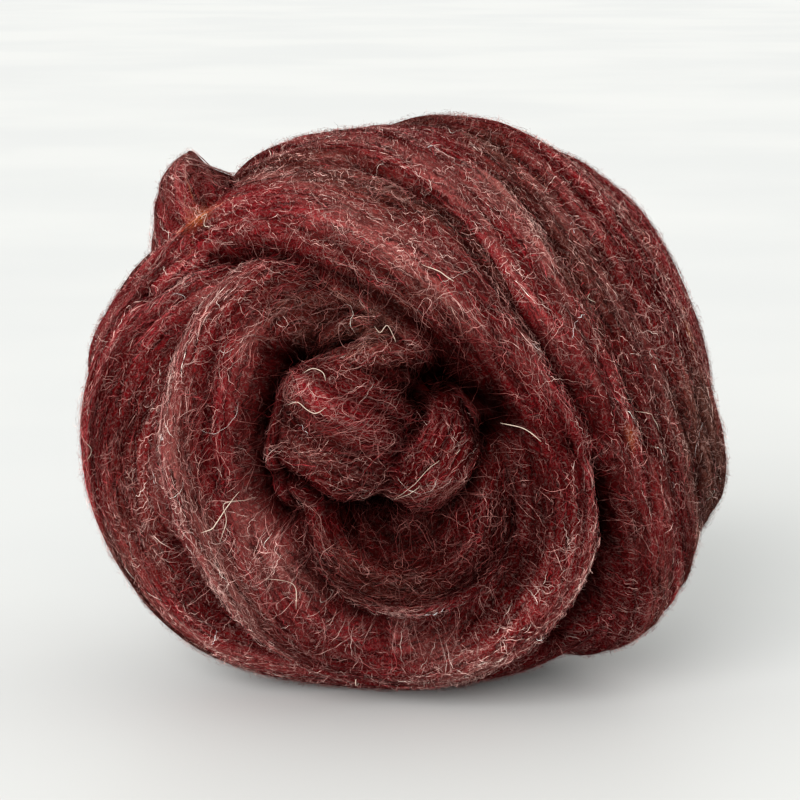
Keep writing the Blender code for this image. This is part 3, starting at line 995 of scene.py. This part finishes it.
SORTS = (
    Fibres("lying_first", count=6600, length=(5 * MM, 11 * MM), segments=12,
           thickness=(0.05 * MM, 0.09 * MM), stray=10, curl=5, follow=0.10, crimp=0.08 * MM, wave=3.2 * MM,
           lift=(0.0, 0.3 * MM), taut=3, pale=0.12, together=3),
    Fibres("lying_second", count=4800, length=(5 * MM, 10 * MM), segments=20,
           thickness=(0.045 * MM, 0.08 * MM), stray=22, curl=8, follow=0.03, crimp=0.20 * MM, wave=1.6 * MM,
           lift=(0.1 * MM, 0.5 * MM), taut=5, pale=0.6),
    Fibres("crossing", count=5400, length=(4 * MM, 10 * MM), segments=18,
           thickness=(0.04 * MM, 0.065 * MM), stray=32, curl=12, follow=0.02, crimp=0.20 * MM, wave=1.6 * MM,
           lift=(0.1 * MM, 0.9 * MM), taut=7, pale=1.1),
    Fibres("curly", count=2400, length=(5 * MM, 10 * MM), segments=24,
           thickness=(0.04 * MM, 0.06 * MM), stray=60, curl=40, follow=0.0, crimp=0.12 * MM, wave=1.8 * MM,
           lift=(0.3 * MM, 1.2 * MM), taut=10, pale=1.3, together=2),
    Fibres("silver", count=2200, length=(6 * MM, 14 * MM), segments=18,
           thickness=(0.035 * MM, 0.055 * MM), stray=30, curl=10, follow=0.02, crimp=0.15 * MM, wave=2.4 * MM,
           lift=(0.3 * MM, 0.9 * MM), taut=8, pale=3.5),
    Fibres("fuzz", count=8000, length=(2.5 * MM, 6 * MM), segments=8,
           thickness=(0.04 * MM, 0.06 * MM), stray=50, curl=25, follow=0.0, crimp=0.12 * MM, wave=1.9 * MM,
           lift=(0.3 * MM, 1.8 * MM), taut=0, pale=1.0, free=True),
)
SEED = 7
LEAST_KEPT = 0.25  # share of the fibres that stay over the darkest gaps
KEPT_WITH_LIGHT = 3  # how much that share grows with the light
ONE_WOOL = 2.5  # the higher, the more a fibre is of one wool alone
TINT_CONTRAST = 0.42
PALEST = 0.85
MOST_ROLL = 0.7  # radians that a ribbon leans to each side
ROLLS = (1, 4)  # the least and the most times that its lean comes and goes
ROLL_PHASES = 6.28  # radians
OUT_OF_GAP = 8 * MM  # height over a gap's floor above which a fibre has none of the gap's painted shade


class Hair(NamedTuple):
    """One coarse pale hair that lies where the photograph shows it, through directions in degrees."""

    thickness: float  # millimetres
    line: tuple


HAIRS = [Hair(*row) for row in (
    (0.18, ((-86.5, 34.4), (-83.1, 33.0), (-80.2, 31.1))),
    (0.18, ((-128.7, -14.6), (-126, -13.5), (-124.5, -11.7), (-121.4, -7.2))),
    (0.12, ((-125, -16), (-123, -12), (-123.5, -9), (-120, -9))),
    (0.17, ((-118.6, -24.1), (-115.5, -25.6), (-114, -28), (-114.7, -32.5))),
    (0.19, ((-108.4, -58.0), (-110.8, -65.8))),
    (0.14, ((-70.0, 5.8), (-67.3, 4.9), (-64.7, 2.5))),
    (0.13, ((-151.3, 42.2), (-148, 42.8), (-146, 40.5), (-142.8, 41.0))),
    (0.09, ((-93.5, -13.5), (-88, -7), (-84, -2.2), (-79.5, -0.5), (-78, 1.0))),
    (0.09, ((-92.5, -12.5), (-87, -7.5), (-82.5, -2.5), (-79.8, 1.5))),
    (0.13, ((-112, 15.8), (-110, 17), (-107.5, 16.2), (-106.5, 14.5))),
    (0.13, ((-114.5, 9.2), (-112, 9.9), (-109.5, 8.6), (-107.5, 8.0), (-105.5, 9.3))),
    (0.11, ((-97, 26.5), (-95.5, 25), (-94, 26.5), (-92.5, 24.5), (-91.8, 23.0))),
    (0.11, ((-48.1, 28.5), (-49.2, 27.3), (-47, 26.4))),
    (0.12, ((-158.7, -2.4), (-154.5, -3.1), (-157.8, -5.8))),
    (0.11, ((-43.3, 5.8), (-39.7, 4.5), (-38.5, 1.7))),
)]
HAIR_POINTS = 16
HAIR_TAUT = 8  # rounds of pulling a hair straight over hollows
HAIR_LIFT = 0.7 * MM
HAIR_WAVE = 0.15 * MM
HAIR_WAVING = 9  # radians of its waves along a hair
HAIR_PHASES = 6  # radians


def own_tints(shares, pale, draw):
    """A colour for each fibre, mostly that of one of the wools where it grows."""
    shares = shares * draw.exponential(size=shares.shape) ** ONE_WOOL
    shares[:, ROSE] += pale * draw.random(len(shares)) ** 2
    colour = shares / shares.sum(axis=1, keepdims=True) @ LOOSE_WOOLS
    return colour * np.exp(TINT_CONTRAST * draw.normal(size=(len(shares), 1)))


def make_fibres(sort, surface, finish, draw):
    path, out = grown(surface, sort, seeds(sort.count // sort.together, draw), draw)
    darkest = surface.at("lit", out)[..., 0].min(axis=1)
    kept = draw.random(len(path)) < LEAST_KEPT + KEPT_WITH_LIGHT * darkest
    path, out = path[kept], out[kept]
    count = len(path)
    tint = own_tints(surface.at("shares", out[:, 0]), sort.pale, draw)
    thickness = draw.uniform(*sort.thickness, size=(count, 1))
    waver = 2 * np.pi * np.linspace(0, 1, path.shape[1]) * draw.uniform(*ROLLS, size=(count, 1))
    roll = MOST_ROLL * np.sin(waver + draw.uniform(0, ROLL_PHASES, size=(count, 1)))
    height = np.linalg.norm(path - CENTRE, axis=2) - surface.at("radius", out)[..., 0]
    # Painted shade on fibres that lie low in a gap, and painted shade of the creases round them
    lit = 1 - (1 - surface.at("lit", out)[..., 0]) * (1 - np.clip(height / OUT_OF_GAP, 0, 1))
    tint = dimmed(np.clip(tint, 0, PALEST)[:, None], lit * painted_crease_shade(surface.openness(path)))
    ribbons(sort.name + "_fibres", path, out, thickness, roll, tint, finish)


def make_hairs(surface, finish, draw):
    paths, outs = [], []
    for hair in HAIRS:
        keys = np.array([heading(*place) for place in hair.line])
        out = unit(between(keys, np.linspace(0, 1, HAIR_POINTS)))
        radius = surface.at("radius", out)[:, 0]
        pull_taut(radius, HAIR_TAUT)
        wave = HAIR_WAVE * np.sin(np.linspace(0, HAIR_WAVING, HAIR_POINTS) + draw.uniform(0, HAIR_PHASES))
        paths.append(CENTRE + out * (radius + HAIR_LIFT + wave)[:, None])
        outs.append(out)
    thickness = np.array([[hair.thickness * MM] for hair in HAIRS])
    roll = np.zeros((len(HAIRS), HAIR_POINTS))
    tint = np.broadcast_to(CREAM, (len(HAIRS), HAIR_POINTS, 3))
    ribbons("coarse_hairs", np.array(paths), np.array(outs), thickness, roll, tint, finish)


make_camera()
make_light()
make_floor()
wool = carded_wool()
coil = [Strand(run, number) for number, run in enumerate(COIL)]
belts = [Strand(run, number + len(COIL)) for number, run in enumerate(BELTS)]
surface = Surface(coil + belts)
for strand in coil + belts:
    # Painted shade of the creases, from how much sky each point sees
    strand.open = painted_crease_shade(surface.openness(strand.rows[:, :COLUMNS]))
strand_piece("coil_strands", coil, wool)
strand_piece("belt_strands", belts, wool)
draw = np.random.default_rng(SEED)
loose = loose_wool()
for sort in SORTS:
    make_fibres(sort, surface, loose, draw)
make_hairs(surface, loose, draw)
